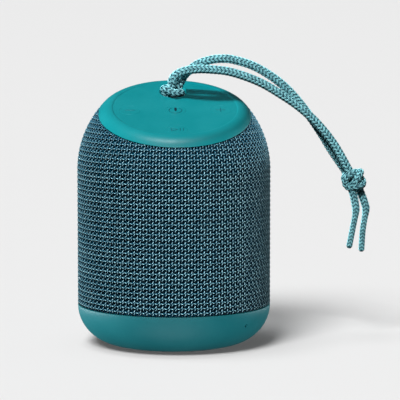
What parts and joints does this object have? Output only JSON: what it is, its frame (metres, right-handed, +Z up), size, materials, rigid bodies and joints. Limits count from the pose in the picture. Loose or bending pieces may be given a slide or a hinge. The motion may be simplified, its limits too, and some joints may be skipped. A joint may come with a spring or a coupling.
{
  "type": "portable bluetooth speaker",
  "caption": "Small upright cylindrical portable speaker wrapped in woven fabric, with a slanted top of touch controls, a rubber base and a braided cord lanyard.",
  "frame": {"origin": "on the floor, under the middle of the foot", "axes": "+Z up along the body's axis; the slanted top faces -Y, the front; +X is the viewer's right when facing the front"},
  "size_m": [0.1227, 0.08, 0.12],
  "materials": {
    "cap_rubber": "satin teal silicone rubber",
    "base_rubber": "satin dark teal silicone rubber",
    "woven_fabric": "coarse woven, blue-grey and teal yarns",
    "cord": "braided, teal and pale aqua yarns",
    "black_plastic": "moulded, matte",
    "black_rubber": "matte",
    "steel": "bright",
    "circuit_board": "solder mask",
    "paper_cone": "matte paper",
    "cell_can": "blue sleeve over a metal can",
    "copper_winding": "enamelled wire",
    "clear_plastic": "clear, polished"
  },
  "bodies": {
    "speaker_body": {"top_cap": "cap_rubber", "top_frame": "black_plastic", "lanyard_cup": "black_plastic", "lanyard_bar": "steel", "main_board": "circuit_board", "switch_power": "black_plastic", "switch_plus": "black_plastic", "switch_minus": "black_plastic", "switch_play": "black_plastic", "wireless_module": "steel", "amplifier_chip": "black_plastic", "enclosure": "black_plastic", "enclosure_lid": "black_plastic", "lid_gasket": "black_rubber", "driver_basket": "steel", "driver_magnet": "steel", "driver_surround": "black_rubber", "spider": "paper_cone", "radiator_frame": "black_plastic", "radiator_surround": "black_rubber", "battery_cell": "cell_can", "battery_clip": "black_plastic", "speaker_lead": "black_plastic", "battery_lead": "black_plastic", "charge_lead": "black_plastic", "grille_fabric": "woven_fabric", "grille_frame": "black_plastic", "bottom_cap": "base_rubber", "charge_light": "clear_plastic", "foot_pad": "black_rubber", "port_pocket": "black_plastic", "usb_socket": "steel", "port_board": "circuit_board", "screw_top_1": "steel", "screw_top_2": "steel", "screw_top_3": "steel", "screw_base_1": "steel", "screw_base_2": "steel", "screw_base_3": "steel", "screw_driver_1": "steel", "screw_driver_2": "steel", "screw_driver_3": "steel", "screw_driver_4": "steel", "lanyard_hitch": "cord", "lanyard_strand_left": "cord", "lanyard_strand_right": "cord", "lanyard_knot": "cord", "lanyard_tail_left": "cord", "lanyard_tail_right": "cord"},
    "power_button": {"button_power": "cap_rubber"},
    "plus_button": {"button_plus": "cap_rubber"},
    "minus_button": {"button_minus": "cap_rubber"},
    "play_button": {"button_play": "cap_rubber"},
    "port_cover": {"port_cover": "base_rubber"},
    "cone_assembly": {"driver_cone": "paper_cone", "dust_cap": "paper_cone", "voice_coil": "copper_winding"},
    "radiator_mass": {"radiator_plate": "steel"}
  },
  "joints": [
    {"name": "power_button_slide", "type": "slide", "parent": "speaker_body", "child": "power_button", "axis": [0, 0.36, -0.933], "range_m": [0, 0.0005], "stiffness_N_per_m": 400},
    {"name": "plus_button_slide", "type": "slide", "parent": "speaker_body", "child": "plus_button", "axis": [0, 0.36, -0.933], "range_m": [0, 0.0005], "stiffness_N_per_m": 400},
    {"name": "minus_button_slide", "type": "slide", "parent": "speaker_body", "child": "minus_button", "axis": [0, 0.36, -0.933], "range_m": [0, 0.0005], "stiffness_N_per_m": 400},
    {"name": "play_button_slide", "type": "slide", "parent": "speaker_body", "child": "play_button", "axis": [0, 0.36, -0.933], "range_m": [0, 0.0005], "stiffness_N_per_m": 400},
    {"name": "port_cover_hinge", "type": "hinge", "parent": "speaker_body", "child": "port_cover", "pos_m": [0, 0.0396, 0.01335], "axis": [1, 0, 0], "range_deg": [0, 110]},
    {"name": "cone_slide", "type": "slide", "parent": "speaker_body", "child": "cone_assembly", "axis": [0, -1, 0], "range_m": [-0.0015, 0.0015], "stiffness_N_per_m": 1500, "deforming": ["driver_surround", "spider"]},
    {"name": "radiator_slide", "type": "slide", "parent": "speaker_body", "child": "radiator_mass", "axis": [0, 1, 0], "range_m": [-0.002, 0.002], "stiffness_N_per_m": 1500, "deforming": ["radiator_surround"]}
  ]
}
